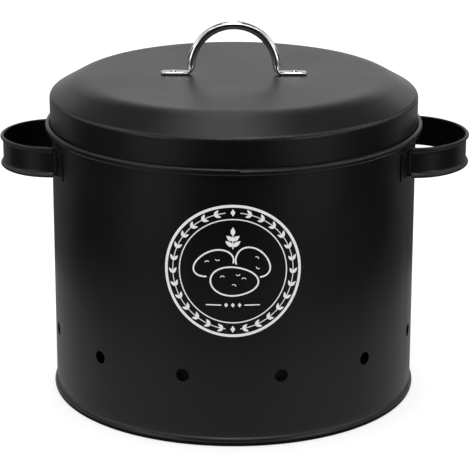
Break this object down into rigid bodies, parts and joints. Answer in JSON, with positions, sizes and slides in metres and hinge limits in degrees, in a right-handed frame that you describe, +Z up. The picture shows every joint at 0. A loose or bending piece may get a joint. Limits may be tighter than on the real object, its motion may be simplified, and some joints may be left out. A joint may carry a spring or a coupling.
{
  "type": "potato storage bin",
  "caption": "Round sheet-metal potato bin with vent holes, side loop handles, and a slip-over lid with an arched rod handle.",
  "frame": {"origin": "on the floor, at the centre of the base", "axes": "+Z up along the bin's axis, the side handles on the X axis, the front towards -Y and the side seam on +Y"},
  "size_m": [0.3097, 0.2482, 0.2485],
  "materials": {
    "bin_paint": "satin black powder coat",
    "lid_paint": "satin black powder coat",
    "handle_metal": "polished",
    "washer_metal": "plain"
  },
  "bodies": {
    "bin": {"body_shell": "bin_paint", "base_plate": "bin_paint", "left_handle": "bin_paint", "right_handle": "bin_paint", "left_handle_rivets": "bin_paint", "right_handle_rivets": "bin_paint"},
    "lid": {"lid_shell": "lid_paint", "lid_handle": "handle_metal", "lid_handle_rivets": "handle_metal", "lid_handle_washers": "washer_metal"}
  },
  "joints": [
    {"name": "lid_lift", "type": "slide", "parent": "bin", "child": "lid", "axis": [0, 0, 1], "range_m": [0, 0.15]}
  ]
}
